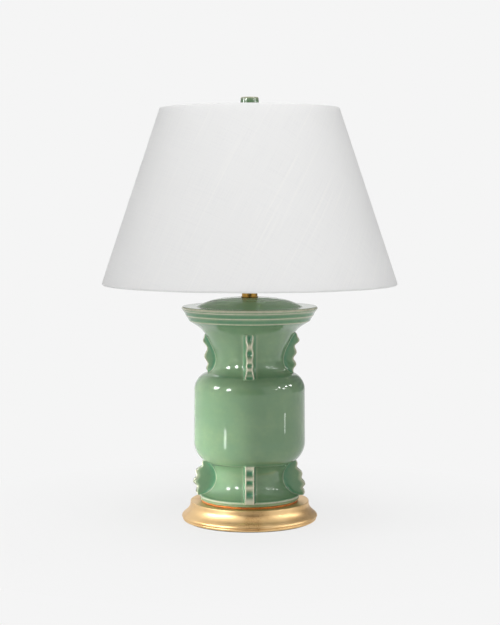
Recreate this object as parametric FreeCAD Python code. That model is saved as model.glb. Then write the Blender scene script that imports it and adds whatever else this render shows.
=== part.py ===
import FreeCAD, Part
import math
import os

# Ginger jar table lamp: a celadon vase with notched flanges stands on a gilded turned base.
# A threaded pipe runs up through base, vase, lid and neck and clamps them together. It carries the
# harp saddle and a turn-key lamp holder. A wire harp stands in the saddle and holds the shade's
# spider, which the finial screws down. Millimetres, +Z up, origin at the middle of the felt's
# underside, front of the lamp towards -Y.

V = FreeCAD.Vector
UP = V(0, 0, 1)
AXIS = V(0, 0, 0)
RIGHT = V(1, 0, 0)
BACK = V(0, 1, 0)
INCH = 25.4

# ---------------------------------------------------------------- driving dimensions
# Base: turned wood, gilded, felt underneath
felt_thickness = 1.5
felt_margin = 4.8
base_height = 29.6
base_top_radius = 92.8
base_torus_radius = 106.2
base_lip_inset = 1.4
base_lip_height = 4.0
base_edge_round = 1.0
# The ogee's line, as shares of the flare and of the height above the lip
base_ogee = [
    (1.00, 0.09), (0.93, 0.17), (0.73, 0.26), (0.48, 0.37), (0.23, 0.52), (0.06, 0.69), (0.00, 0.86),
]
nut_pocket_radius = 26.0
nut_pocket_depth = 14.5
cord_height = 9.5
cord_bore_radius = 3.5
bushing_wall = 1.5
bushing_length = 12.0
bushing_flange_radius = 6.4
bushing_flange_thickness = 1.6
bushing_seat_depth = 3.8
spot_face_length = 20.0
bushing_flange_play = 0.3

# Seat ring between base and vase
seat_thickness = 2.2
seat_radius = 75.6
seat_bore_radius = 60.0

# Vase: foot, lower waist, body, neck and moulded rim
foot_radius = 77.8
foot_band_height = 6.8
foot_ring_width = 11.8
foot_recess_depth = 4.0
waist_radius = 53.0
waist_height = 55.2
crease_radius = 72.5
body_radius = 87.0
shoulder_radius = 86.4
body_height = 134.7
under_curve_height = 29.7
shoulder_curve_height = 27.0
neck_foot_radius = 73.0
neck_radius = 53.2
neck_height = 83.8
lip_radius = 104.2
middle_bead_inset = 4.3
lower_bead_inset = 9.6
rim_height = 17.3
rim_cove_depth = 0.3
foot_bevel = 2.4
drilling_play = 0.8
vase_wall = 7.0
vase_floor = 8.0

# Flanges: slabs with a notched crest, four on the neck and four on the lower waist
flange_count = 4
neck_flange_reach = 22.1
neck_flange_thickness = 11.2
waist_flange_reach = 35.2
waist_flange_thickness = 13.0

# Lid
lid_edge_bulge = 1.9
lid_edge_height = 5.1
lid_rise = 18.6
lid_flange_width = 21.0
lid_thickness = 5.0
lid_skirt_inset = 13.2
lid_skirt_play = 1.2
lid_skirt_wall = 5.0
lid_skirt_depth = 6.5
lid_plateau_radius = 19.0

# Pipe, nut, washer, neck
pipe_radius = 4.9
pipe_bore_radius = 3.2
pipe_clearance = 0.3
pipe_below_nut = 3.0
nut_across_flats = 14.3
nut_thickness = 4.0
washer_radius = 15.0
washer_thickness = 1.8
check_ring_radius = 13.3
check_ring_thickness = 2.0
neck_tube_radius = 12.2
neck_tube_wall = 1.2
neck_tube_height = 42.5

# Harp, its saddle and sleeves
saddle_thickness = 1.8
saddle_width = 11.0
saddle_flat_half = 11.0
harp_post_spacing = 57.0
harp_wire_radius = 2.2
saddle_rise = 12.0
post_height = 11.0
harp_width = 108.0
harp_height = 9.0 * INCH
harp_low_bend_radius = 20.0
harp_side_bend_radius = 60.0
harp_top_bend_radius = 26.0
harp_low_bend_share = 0.36
harp_high_bend_share = 0.70
harp_shoulder_share = 0.60
harp_eye_play = 0.05
harp_eye_radius = 7.0
harp_eye_thickness = 3.2
sleeve_wall = 1.1
sleeve_clearance = 0.1
sleeve_length = 18.0
sleeve_bend_room = 6.0

# Stud on top of the harp, 1/4 in lamp thread
stud_radius = 3.05
stud_collar_radius = 6.5
stud_collar_thickness = 2.0
stud_head_radius = 4.6
stud_head_thickness = 2.0
stud_thread_length = 13.5

# Lamp holder, medium screw size
holder_cap_radius = 17.0
holder_cap_wall = 0.8
holder_cap_height = 24.0
holder_hub_radius = 7.8
holder_hub_height = 7.0
holder_shell_radius = 16.0
holder_shell_wall = 0.5
holder_shell_height = 48.0
holder_shell_overlap = 7.0
holder_liner_wall = 0.6
holder_part_gap = 0.1
insulator_height = 18.5
insulator_boss_radius = 6.0
insulator_boss_height = 2.0
screw_shell_bore_radius = 13.3
screw_shell_wall = 0.4
screw_shell_height = 22.0
contact_radius = 4.0
contact_thickness = 0.8
terminal_step_height = 14.5
terminal_head_radius = 3.0
terminal_head_thickness = 1.5
terminal_shank_radius = 1.6
terminal_shank_length = 5.0
set_screw_radius = 1.6
set_screw_head_radius = 2.6
set_screw_head_length = 2.2
set_screw_height = 3.5
screw_slot_width = 0.7
screw_slot_depth = 1.0

# Turn key of the switch
key_height_in_holder = 12.0
key_shaft_radius = 2.0
key_shaft_clearance = 0.1
key_shaft_inside = 5.0
key_stem_length = 6.0
key_knob_radius = 5.2
key_knob_length = 4.0
key_wing_length = 11.0
key_wing_width = 16.0
key_wing_thickness = 3.6

# Bulb, screwed into the holder
bulb_cap_radius = 13.0
bulb_cap_height = 23.0
bulb_cap_wall = 0.5
bulb_contact_radius = 4.6
bulb_contact_thickness = 1.4
bulb_insulator_height = 2.2
bulb_collar_height = 26.0
bulb_collar_top_radius = 27.0
bulb_globe_radius = 30.0
bulb_globe_height = 58.0
bulb_wall = 1.5
led_board_play = 0.5
led_board_thickness = 1.6
led_board_bore_radius = 1.5

# Shade, sold as 11 in across the top and 18 in across the bottom
shade_top_radius = 138.4
shade_bottom_radius = 229.8
shade_height = 272.7
shade_drop = 20.5
linen_thickness = 0.5
backing_thickness = 0.8
ring_wire_radius = 1.6
ring_play = 0.1
hem_depth = 12.0
hem_slit_play = 0.4
spider_arms = 3
spider_wire_radius = 1.6
spider_hub_radius = 12.0
spider_hub_thickness = 3.2
spider_hub_clearance = 0.1
spider_bend_radius = 7.0
spider_bend_inset = 9.0

# Finial
finial_clearance = 0.1
finial_foot_radius = 6.8
finial_waist_radius = 4.9
finial_seat_radius = 9.0
finial_base_height = 12.3
finial_ring_radius = 9.6
finial_ring_thickness = 1.2
finial_cap_radius = 14.7
finial_cap_top_radius = 13.9
finial_cap_height = 19.8
finial_cap_round = 2.0

# ---------------------------------------------------------------- radii and heights worked out
base_lip_radius = base_torus_radius - base_lip_inset
felt_radius = base_lip_radius - felt_margin
bushing_seat_radius = base_torus_radius - bushing_seat_depth
lower_bead_radius = lip_radius - lower_bead_inset
middle_bead_radius = lip_radius - middle_bead_inset
lid_skirt_radius = lip_radius - lid_skirt_inset
base_bottom_z = felt_thickness
base_top_z = base_bottom_z + base_height
vase_z = base_top_z + seat_thickness
waist_z = vase_z + foot_band_height
crease_z = waist_z + waist_height
neck_z = crease_z + body_height
rim_z = neck_z + neck_height
lip_z = rim_z + rim_height
lid_top_z = lip_z + lid_rise
check_ring_top_z = lid_top_z + check_ring_thickness
saddle_z = check_ring_top_z + neck_tube_height
holder_z = saddle_z + saddle_thickness
post_z = holder_z + saddle_rise
wire_start_z = post_z + post_height
sleeve_travel = post_height + 1.0
harp_top_z = saddle_z + harp_height
stud_seat_z = harp_top_z
eye_z = stud_seat_z - stud_collar_thickness - harp_eye_thickness
spider_top_z = stud_seat_z + spider_hub_thickness
shade_top_z = stud_seat_z + shade_drop
shade_bottom_z = shade_top_z - shade_height
shell_z = holder_z + holder_cap_height - holder_shell_overlap
insulator_z = shell_z + 2.5
insulator_top_z = insulator_z + insulator_height
contact_top_z = insulator_top_z + insulator_boss_height + contact_thickness
key_z = insulator_z + key_height_in_holder
bulb_cap_z = contact_top_z + bulb_contact_thickness + bulb_insulator_height
collar_z = bulb_cap_z + bulb_cap_height
globe_z = collar_z + bulb_collar_height
finial_z = spider_top_z
finial_ring_z = finial_z + finial_base_height
finial_cap_z = finial_ring_z + finial_ring_thickness
nut_pocket_z = base_bottom_z + nut_pocket_depth
washer_z = nut_pocket_z - washer_thickness
nut_z = washer_z - nut_thickness
pipe_bottom_z = nut_z - pipe_below_nut
pipe_top_z = holder_z + holder_hub_height + 1.0
pipe_hole_radius = pipe_radius + pipe_clearance


# ---------------------------------------------------------------- drawing helpers
class Profile:
    """A closed outline in the half plane of radius and height, turned about an upright axis."""

    def __init__(self, r, z):
        self.first = V(r, 0, z)
        self.here = self.first
        self.edges = []

    def line(self, r, z):
        there = V(r, 0, z)
        if there.distanceToPoint(self.here) > 1e-6:
            self.edges.append(Part.makeLine(self.here, there))
        self.here = there
        return self

    def arc(self, r_mid, z_mid, r, z):
        there = V(r, 0, z)
        self.edges.append(Part.Arc(self.here, V(r_mid, 0, z_mid), there).toShape())
        self.here = there
        return self

    def curve(self, *points):
        spots = [self.here] + [V(r, 0, z) for r, z in points]
        spline = Part.BSplineCurve()
        spline.interpolate(spots)
        self.edges.append(spline.toShape())
        self.here = spots[-1]
        return self

    def face(self):
        self.line(self.first.x, self.first.z)
        return Part.Face(Part.Wire(self.edges))

    def turned(self):
        return self.face().revolve(AXIS, UP, 360)


def disc(radius, z_low, z_high):
    return Part.makeCylinder(radius, z_high - z_low, V(0, 0, z_low))


def tube(radius, bore, z_low, z_high):
    return disc(radius, z_low, z_high).cut(disc(bore, z_low - 1, z_high + 1))


def rod(radius, start, direction, length):
    return Part.makeCylinder(radius, length, start, direction)


def around(shape, count, first_angle=0.0):
    """Copies of a shape, spread evenly round the lamp's axis."""
    copies = []
    for k in range(count):
        copy = shape.copy()
        copy.rotate(AXIS, UP, first_angle + 360.0 * k / count)
        copies.append(copy)
    return copies


def mix(low, high, share):
    return low + (high - low) * share


def rounded_path(points, radii):
    """Straight runs through the points, joined by a tangent arc of the given radius at each corner."""
    edges = []
    here = points[0]
    for before, corner, after, radius in zip(points, points[1:], points[2:], radii):
        back = (before - corner).normalize()
        ahead = (after - corner).normalize()
        half = back.getAngle(ahead) / 2
        reach = radius / math.tan(half)
        enter = corner + back * reach
        leave = corner + ahead * reach
        bisector = (back + ahead).normalize()
        middle = corner + bisector * (radius / math.sin(half) - radius)
        edges.append(Part.makeLine(here, enter))
        edges.append(Part.Arc(enter, middle, leave).toShape())
        here = leave
    edges.append(Part.makeLine(here, points[-1]))
    return Part.Wire(edges)


def wire_along(path, radius):
    """A round wire that follows a path which starts at its first vertex."""
    start = path.Edges[0]
    tangent = start.tangentAt(start.FirstParameter)
    circle = Part.Circle(start.valueAt(start.FirstParameter), tangent, radius)
    return path.makePipeShell([Part.Wire(circle.toShape())], True, False)


# ---------------------------------------------------------------- base
def gilt_base():
    """Turned ogee base: lip, torus, cove and a flat top, with a pocket for the nut underneath."""
    z0 = base_bottom_z
    lip_top = z0 + base_lip_height
    outline = Profile(pipe_hole_radius, nut_pocket_z)
    outline.line(nut_pocket_radius, nut_pocket_z)
    outline.line(nut_pocket_radius, z0)
    outline.line(base_lip_radius - 2.0, z0)
    outline.arc(base_lip_radius, z0 + base_lip_height / 2, base_lip_radius - 0.9, lip_top)
    outline.curve(*[
        (mix(base_top_radius, base_torus_radius, flare), mix(lip_top, base_top_z, rise))
        for flare, rise in base_ogee
    ])
    round_share = base_edge_round * (1 - math.sqrt(0.5))
    outline.line(base_top_radius, base_top_z - base_edge_round)
    outline.arc(
        base_top_radius - round_share, base_top_z - round_share,
        base_top_radius - base_edge_round, base_top_z,
    )
    outline.line(pipe_hole_radius, base_top_z)
    body = outline.turned()
    hole = rod(cord_bore_radius + bushing_wall, V(0, 0, cord_height), BACK, 2 * base_torus_radius)
    spot_face = rod(
        bushing_flange_radius + bushing_flange_play,
        V(0, bushing_seat_radius, cord_height), BACK, spot_face_length,
    )
    return body.cut(hole).cut(spot_face)


def cord_bushing():
    """Flanged bush that lines the cord hole at the back of the base."""
    seat = V(0, bushing_seat_radius, cord_height)
    barrel_start = V(0, bushing_seat_radius - bushing_length, cord_height)
    barrel = rod(cord_bore_radius + bushing_wall, barrel_start, BACK, bushing_length)
    flange = rod(bushing_flange_radius, seat, BACK, bushing_flange_thickness)
    bore = rod(cord_bore_radius, V(0, 0, cord_height), BACK, 2 * base_torus_radius)
    return barrel.fuse(flange).cut(bore).removeSplitter()


def felt_pad():
    return disc(felt_radius, 0, felt_thickness)


def lock_nut():
    corner = nut_across_flats / math.sqrt(3)
    corners = [
        V(corner * math.cos(math.radians(60 * k)), corner * math.sin(math.radians(60 * k)), nut_z)
        for k in range(7)
    ]
    hexagon = Part.Face(Part.makePolygon(corners))
    bore = disc(pipe_radius, nut_z - 1, nut_z + nut_thickness + 1)
    return hexagon.extrude(UP * nut_thickness).cut(bore)


def base_washer():
    return tube(washer_radius, pipe_hole_radius, washer_z, nut_pocket_z)


def centre_pipe():
    return tube(pipe_radius, pipe_bore_radius, pipe_bottom_z, pipe_top_z)


def seat_ring():
    """Thin turned ring, red under its gilding, that keeps the vase's foot off the base."""
    return tube(seat_radius, seat_bore_radius, base_top_z, vase_z)


# ---------------------------------------------------------------- vase
# Neck curve: share of the neck's height, and share of the way out from its narrowest radius
neck_below = ((0.054, 0.485), (0.137, 0.152))
neck_narrowest = 0.268
neck_above = ((0.400, 0.043), (0.543, 0.165), (0.710, 0.338), (0.863, 0.580))


def vase_outside():
    """The vase's outer form, solid."""
    body_low_z = crease_z + under_curve_height
    body_high_z = neck_z - shoulder_curve_height
    outline = Profile(0, vase_z)
    outline.line(foot_radius - foot_bevel, vase_z)
    outline.line(foot_radius - 0.4 * foot_bevel, vase_z + 0.7 * foot_bevel)
    outline.line(foot_radius, waist_z - 0.3 * foot_bevel)
    outline.line(foot_radius - 0.5 * foot_bevel, waist_z + 0.5 * foot_bevel)
    outline.arc(waist_radius, mix(waist_z, crease_z, 0.496), crease_radius, crease_z)
    under_mid = mix(crease_radius, body_radius, 0.70)
    outline.arc(under_mid, crease_z + 0.405 * under_curve_height, body_radius, body_low_z)
    outline.line(shoulder_radius, body_high_z)
    shoulder_mid = mix(neck_foot_radius, shoulder_radius, 0.73)
    outline.arc(shoulder_mid, body_high_z + 0.62 * shoulder_curve_height, neck_foot_radius, neck_z)
    points = []
    for height, share in neck_below:
        points.append((mix(neck_radius, neck_foot_radius, share), neck_z + height * neck_height))
    points.append((neck_radius, neck_z + neck_narrowest * neck_height))
    for height, share in neck_above:
        points.append((mix(neck_radius, lower_bead_radius, share), neck_z + height * neck_height))
    points.append((lower_bead_radius, rim_z))
    outline.curve(*points)
    bead_radii = (lower_bead_radius, middle_bead_radius, lip_radius)
    bead_heights = (rim_z, mix(rim_z, lip_z, 0.49), mix(rim_z, lip_z, 0.925))
    for k in (0, 1):
        cove_radius = mix(bead_radii[k], bead_radii[k + 1], 0.5) - rim_cove_depth
        cove_z = mix(bead_heights[k], bead_heights[k + 1], 0.5)
        outline.arc(cove_radius, cove_z, bead_radii[k + 1], bead_heights[k + 1])
    outline.line(lip_radius, lip_z)
    outline.line(0, lip_z)
    return outline.turned()


# Crest of a flange, from its upper end down. Each row: height as a share of the neck's or waist's
# height, standing out as a share of the flange's reach from the narrowest radius, and thickness as
# a share of the flange's own. Teeth and notches take turns: arcs run from tooth to tooth through
# the notch between them.
neck_crest = (
    (0.776, 0.77, 1.05),
    (0.690, 0.87, 1.00),
    (0.610, 1.00, 0.84),
    (0.500, 0.69, 1.05),
    (0.364, 0.84, 0.86),
    (0.268, 0.64, 1.00),
    (0.179, 0.79, 0.93),
    (0.110, 0.68, 1.11),
    (0.060, 0.60, 1.25),
)
waist_crest = (
    (0.990, 0.52, 1.00),
    (0.930, 0.59, 0.98),
    (0.868, 0.62, 0.96),
    (0.768, 0.60, 1.05),
    (0.641, 0.875, 0.96),
    (0.530, 0.80, 1.05),
    (0.368, 1.00, 0.97),
    (0.210, 0.86, 1.06),
    (0.045, 0.995, 0.98),
    (0.008, 0.985, 0.98),
    (-0.018, 0.94, 1.00),
)
# Where the slab's upper and lower edge run into the wall: height share and reach share
neck_roots = ((0.75, 0.36), (-0.07, 0.18))
waist_roots = ((0.996, 0.38), (0.004, 0.52))


def flange(crest, roots, narrowest, low_z, height, reach, thickness):
    """One notched slab, standing out along +X: its side outline and its edge outline, crossed."""
    def spot(share, out):
        return V(narrowest + out * reach, 0, low_z + share * height)

    crest_line = [spot(share, out) for share, out, width in crest]
    side = []
    for k in range(0, len(crest_line) - 2, 2):
        side.append(Part.Arc(*crest_line[k:k + 3]).toShape())
    core = narrowest - vase_wall / 2
    root_line = [crest_line[-1], spot(*roots[1]), V(core, 0, low_z + 0.25 * height)]
    root_line += [V(core, 0, low_z + 0.45 * height), spot(*roots[0]), crest_line[0]]
    for start, end in zip(root_line, root_line[1:]):
        side.append(Part.makeLine(start, end))
    slab = Part.Face(Part.Wire(side)).extrude(BACK * (2 * thickness))
    slab.translate(BACK * -thickness)
    edge_line = [V(0, thickness / 2 * width, low_z + share * height) for share, out, width in crest]
    edge = Part.BSplineCurve()
    edge.interpolate(edge_line)
    top = edge_line[0] + UP * (0.3 * height)
    bottom = edge_line[-1] - UP * (0.1 * height)
    right = [
        Part.makeLine(top, edge.StartPoint),
        edge.toShape(),
        Part.makeLine(edge.EndPoint, bottom),
    ]
    left = [e.mirror(AXIS, BACK) for e in right]
    caps = [
        Part.makeLine(top, V(0, -top.y, top.z)),
        Part.makeLine(bottom, V(0, -bottom.y, bottom.z)),
    ]
    ordered = Part.sortEdges(right + left + caps)[0]
    bar = Part.Face(Part.Wire(ordered)).extrude(RIGHT * (2 * lip_radius))
    return slab.common(bar)


def vase_cavity():
    """Hollow of the vase: straight walls between the narrow and wide places, open at the lip."""
    neck_low_radius = mix(neck_radius, neck_foot_radius, 0.5) - vase_wall
    neck_high_radius = mix(neck_radius, lower_bead_radius, 0.34) - vase_wall
    outline = Profile(0, vase_z + vase_floor)
    outline.line(mix(waist_radius, foot_radius, 0.78) - vase_wall, vase_z + vase_floor)
    outline.line(waist_radius - vase_wall, mix(waist_z, crease_z, 0.33))
    outline.line(waist_radius - vase_wall, mix(waist_z, crease_z, 0.66))
    outline.line(crease_radius - vase_wall, crease_z)
    outline.line(body_radius - vase_wall, crease_z + under_curve_height)
    outline.line(shoulder_radius - vase_wall, neck_z - shoulder_curve_height)
    outline.line(neck_low_radius, neck_z)
    outline.line(neck_radius - vase_wall, neck_z + 0.14 * neck_height)
    outline.line(neck_radius - vase_wall, neck_z + 0.40 * neck_height)
    outline.line(neck_high_radius, neck_z + 0.71 * neck_height)
    outline.line(lower_bead_radius - 2 * vase_wall, rim_z)
    outline.line(lid_skirt_radius + lid_skirt_play, mix(rim_z, lip_z, 0.45))
    outline.line(lid_skirt_radius + lid_skirt_play, lip_z)
    outline.line(0, lip_z)
    return outline.turned()


def vase_body():
    """Celadon vase: turned body with eight flanges luted on, hollowed from the floor to the lip."""
    body = vase_outside()
    neck_flange = flange(
        neck_crest, neck_roots, neck_radius, neck_z, neck_height,
        neck_flange_reach, neck_flange_thickness,
    )
    waist_flange = flange(
        waist_crest, waist_roots, waist_radius, waist_z, waist_height,
        waist_flange_reach, waist_flange_thickness,
    )
    for shape in (neck_flange, waist_flange):
        for copy in around(shape, flange_count):
            body = body.fuse(copy)
    recess = disc(foot_radius - foot_ring_width, vase_z - 1, vase_z + foot_recess_depth)
    drilling = disc(pipe_hole_radius + drilling_play, vase_z, vase_z + 2 * vase_floor)
    return body.cut(vase_cavity()).cut(recess).cut(drilling)


def vase_lid():
    """Domed lid with a rounded edge, a flat flange and a skirt that drops into the vase's mouth."""
    flange_z = lip_z + lid_edge_height
    inner_r = lip_radius - lid_flange_width
    outline = Profile(pipe_hole_radius, lid_top_z)
    outline.line(lid_plateau_radius, lid_top_z)
    outline.curve(
        (mix(lid_plateau_radius, inner_r, 0.30), mix(flange_z, lid_top_z, 0.915)),
        (mix(lid_plateau_radius, inner_r, 0.60), mix(flange_z, lid_top_z, 0.72)),
        (mix(lid_plateau_radius, inner_r, 0.82), mix(flange_z, lid_top_z, 0.39)),
        (inner_r, flange_z - 0.4),
    )
    outline.line(lip_radius - 1.2, flange_z)
    outline.arc(lip_radius + lid_edge_bulge, lip_z + 0.46 * lid_edge_height, lip_radius + 0.7, lip_z)
    outline.line(lid_skirt_radius, lip_z)
    outline.line(lid_skirt_radius, lip_z - lid_skirt_depth)
    outline.line(lid_skirt_radius - lid_skirt_wall, lip_z - lid_skirt_depth)
    outline.line(lid_skirt_radius - lid_skirt_wall, lip_z)
    outline.line(inner_r - 2, lip_z)
    under_r = mix(lid_plateau_radius, inner_r, 0.6)
    under_z = mix(lip_z, lid_top_z - lid_thickness, 0.66)
    outline.arc(under_r, under_z, lid_plateau_radius, lid_top_z - lid_thickness)
    outline.line(pipe_hole_radius, lid_top_z - lid_thickness)
    return outline.turned()


# ---------------------------------------------------------------- neck, saddle and harp
def bevelled_ring(radius, bore, z_low, z_high):
    """Flat turned ring whose outer edges are bevelled by a third of its thickness."""
    bevel = (z_high - z_low) / 3
    outline = Profile(bore, z_low)
    outline.line(radius - bevel, z_low)
    outline.line(radius, z_low + bevel)
    outline.line(radius, z_high - bevel)
    outline.line(radius - bevel, z_high)
    outline.line(bore, z_high)
    return outline.turned()


def check_ring():
    return bevelled_ring(check_ring_radius, pipe_hole_radius, lid_top_z, check_ring_top_z)


def neck_tube():
    """Slip neck: a thin brass tube, closed at its top around the pipe."""
    outline = Profile(neck_tube_radius - neck_tube_wall, check_ring_top_z)
    outline.line(neck_tube_radius, check_ring_top_z)
    outline.line(neck_tube_radius, saddle_z - 1.5)
    outline.arc(neck_tube_radius - 0.4, saddle_z - 0.4, neck_tube_radius - 1.5, saddle_z)
    outline.line(pipe_hole_radius, saddle_z)
    outline.line(pipe_hole_radius, saddle_z - neck_tube_wall)
    outline.line(neck_tube_radius - neck_tube_wall, saddle_z - neck_tube_wall - 0.5)
    return outline.turned()


def harp_saddle():
    """Bent strap on the pipe, with an upright post at each end for the harp and its sleeve."""
    post_x = harp_post_spacing / 2
    low = V(0, 0, saddle_z)
    centre_line = [
        low,
        V(saddle_flat_half, 0, saddle_z),
        V(post_x - 2.0, 0, post_z - saddle_thickness),
        V(post_x + harp_wire_radius, 0, post_z - saddle_thickness),
        V(post_x + harp_wire_radius, 0, post_z),
        V(post_x - 2.8, 0, post_z),
        V(saddle_flat_half - 0.8, 0, holder_z),
        V(0, 0, holder_z),
        low,
    ]
    half = Part.Face(Part.makePolygon(centre_line)).extrude(BACK * saddle_width)
    half.translate(BACK * (-saddle_width / 2))
    post = rod(harp_wire_radius, V(post_x, 0, post_z), UP, post_height)
    half = half.fuse(post)
    other = half.mirror(AXIS, RIGHT)
    hole = disc(pipe_hole_radius, saddle_z - 1, holder_z + 1)
    return half.fuse(other).removeSplitter().cut(hole)


def harp_bow():
    """One bent wire from post to post, flattened to an eye under the stud."""
    post_x = harp_post_spacing / 2
    wide_x = harp_width / 2 - harp_wire_radius
    wire_z = eye_z + harp_eye_thickness / 2
    reach = wire_z - wire_start_z
    half = [
        V(post_x, 0, wire_start_z),
        V(post_x, 0, post_z + sleeve_length + sleeve_travel + sleeve_bend_room),
        V(wide_x, 0, wire_start_z + harp_low_bend_share * reach),
        V(wide_x, 0, wire_start_z + harp_high_bend_share * reach),
        V(harp_shoulder_share * wide_x, 0, wire_z),
    ]
    other = [V(-p.x, 0, p.z) for p in reversed(half)]
    bends = [harp_low_bend_radius, harp_side_bend_radius, harp_side_bend_radius, harp_top_bend_radius]
    radii = bends + bends[::-1]
    bow = wire_along(rounded_path(half + other, radii), harp_wire_radius)
    eye = disc(harp_eye_radius, eye_z, eye_z + harp_eye_thickness)
    hole = disc(stud_radius + harp_eye_play, eye_z - 1, stud_seat_z)
    top_gap = disc(harp_eye_radius, eye_z + harp_eye_thickness, stud_seat_z)
    low_gap = disc(harp_eye_radius, eye_z - 2 * harp_wire_radius, eye_z)
    return bow.cut(top_gap).cut(low_gap).fuse(eye).cut(hole)


def harp_stud():
    """Riveted stud: head under the eye, collar on it, and the threaded end for the finial."""
    head = disc(stud_head_radius, eye_z - stud_head_thickness, eye_z)
    collar = disc(stud_collar_radius, stud_seat_z - stud_collar_thickness, stud_seat_z)
    shank = disc(stud_radius, eye_z - stud_head_thickness, stud_seat_z + stud_thread_length)
    return head.fuse(collar).fuse(shank).removeSplitter()


def harp_sleeve(side):
    """Ferrule that slides down over the joint between post and harp wire."""
    bore = harp_wire_radius + sleeve_clearance
    outline = Profile(bore, post_z)
    outer = bore + sleeve_wall
    outline.line(outer + 0.4, post_z)
    outline.line(outer + 0.4, post_z + 2)
    outline.line(outer, post_z + 3)
    outline.line(outer, post_z + sleeve_length - 1)
    outline.line(outer - 0.5, post_z + sleeve_length)
    outline.line(bore, post_z + sleeve_length)
    sleeve = outline.turned()
    sleeve.translate(RIGHT * (side * harp_post_spacing / 2))
    return sleeve


# ---------------------------------------------------------------- lamp holder
def holder_cap():
    """Stamped cap: a threaded hub on the pipe, opening into a rim that grips the shell."""
    wall = holder_cap_wall
    hub_top = holder_z + holder_hub_height
    rim_low = holder_z + 0.66 * holder_cap_height
    top = holder_z + holder_cap_height
    bore = pipe_radius + 0.1
    outline = Profile(bore, holder_z)
    outline.line(holder_hub_radius, holder_z)
    outline.line(holder_hub_radius, hub_top)
    outline.arc(
        mix(holder_hub_radius, holder_cap_radius, 0.74), mix(hub_top, rim_low, 0.26),
        holder_cap_radius, rim_low,
    )
    outline.line(holder_cap_radius, top)
    outline.line(holder_cap_radius - wall, top)
    outline.line(holder_cap_radius - wall, rim_low)
    outline.arc(
        mix(holder_hub_radius, holder_cap_radius, 0.74) - wall, mix(hub_top, rim_low, 0.26) + wall,
        holder_hub_radius - 0.3, hub_top + wall,
    )
    outline.line(bore, hub_top + wall)
    screw_hole = rod(set_screw_radius, V(0, 0, holder_z + set_screw_height), BACK, holder_cap_radius)
    return outline.turned().cut(screw_hole)


def set_screw():
    """Slotted screw in the cap's hub, which stops the cap turning on the pipe."""
    z = holder_z + set_screw_height
    shank_start = V(0, pipe_radius + 0.2, z)
    shank = rod(set_screw_radius, shank_start, BACK, holder_hub_radius - pipe_radius)
    head = rod(set_screw_head_radius, V(0, holder_hub_radius, z), BACK, set_screw_head_length)
    slot = Part.makeBox(2 * set_screw_head_radius, screw_slot_depth, screw_slot_width)
    slot_y = holder_hub_radius + set_screw_head_length - screw_slot_depth
    slot.translate(V(-set_screw_head_radius, slot_y, z - screw_slot_width / 2))
    return shank.fuse(head).removeSplitter().cut(slot)


def key_hole(radius):
    return rod(radius, V(0, 0, key_z), -BACK, 2 * holder_cap_radius)


def holder_shell():
    """Thin brass shell with a rolled bead at its mouth and a hole for the key's shaft."""
    r = holder_shell_radius
    top = shell_z + holder_shell_height
    outline = Profile(r - holder_shell_wall, shell_z)
    outline.line(r, shell_z)
    outline.line(r, top - 2.2)
    outline.arc(r + 0.7, top - 1.1, r, top)
    outline.line(r - holder_shell_wall, top)
    return outline.turned().cut(key_hole(key_shaft_radius + 2.2))


def holder_liner():
    outer = holder_shell_radius - holder_shell_wall - holder_part_gap
    liner = tube(outer, outer - holder_liner_wall, shell_z + 1, shell_z + holder_shell_height - 2)
    return liner.cut(key_hole(key_shaft_radius + 1.6))


def insulator_radius():
    return holder_shell_radius - holder_shell_wall - holder_liner_wall - 2 * holder_part_gap


def terminal_flat():
    return insulator_radius() - terminal_head_thickness - 1.2


def holder_insulator():
    """Moulded block that carries contact, screw shell, terminals and switch."""
    body = disc(insulator_radius(), insulator_z, insulator_top_z)
    boss = disc(insulator_boss_radius, insulator_top_z, insulator_top_z + insulator_boss_height)
    body = body.fuse(boss).removeSplitter()
    for side in (-1, 1):
        step = Part.makeBox(insulator_radius(), 2 * insulator_radius(), terminal_step_height)
        step.translate(V(0, -insulator_radius(), insulator_z))
        step.translate(RIGHT * terminal_flat())
        if side < 0:
            step = step.mirror(AXIS, RIGHT)
        body = body.cut(step).cut(terminal_shank(side))
    return body.cut(key_hole(key_shaft_radius + key_shaft_clearance))


def terminal_z():
    return insulator_z + 0.5 * terminal_step_height


def terminal_shank(side):
    start = V(side * (terminal_flat() - terminal_shank_length), 0, terminal_z())
    return rod(terminal_shank_radius, start, RIGHT * side, terminal_shank_length)


def terminal_screws():
    """The two wire terminals, one each side of the block."""
    screws = []
    for side in (-1, 1):
        seat = V(side * terminal_flat(), 0, terminal_z())
        head = rod(terminal_head_radius, seat, RIGHT * side, terminal_head_thickness)
        slot = Part.makeBox(2 * screw_slot_depth, 2 * terminal_head_radius, screw_slot_width)
        slot.translate(V(-screw_slot_depth, -terminal_head_radius, terminal_z() - screw_slot_width / 2))
        slot.translate(RIGHT * side * (terminal_flat() + terminal_head_thickness + 0.3 * screw_slot_depth))
        screws.append(head.fuse(terminal_shank(side)).removeSplitter().cut(slot))
    return Part.makeCompound(screws)


def screw_shell():
    """Threaded cup that takes the bulb's cap; it stands on the block around the boss."""
    outer = screw_shell_bore_radius + screw_shell_wall
    top = insulator_top_z + screw_shell_height
    outline = Profile(insulator_boss_radius + 0.5, insulator_top_z)
    outline.line(outer, insulator_top_z)
    outline.line(outer, top)
    outline.line(screw_shell_bore_radius, top)
    outline.line(screw_shell_bore_radius, insulator_top_z + screw_shell_wall)
    outline.line(insulator_boss_radius + 0.5, insulator_top_z + screw_shell_wall)
    return outline.turned()


def centre_contact():
    low = insulator_top_z + insulator_boss_height
    return disc(contact_radius, low, contact_top_z)


def switch_shaft():
    start = V(0, -key_shaft_inside, key_z)
    return rod(key_shaft_radius, start, -BACK, holder_cap_radius + key_stem_length - key_shaft_inside)


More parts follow.
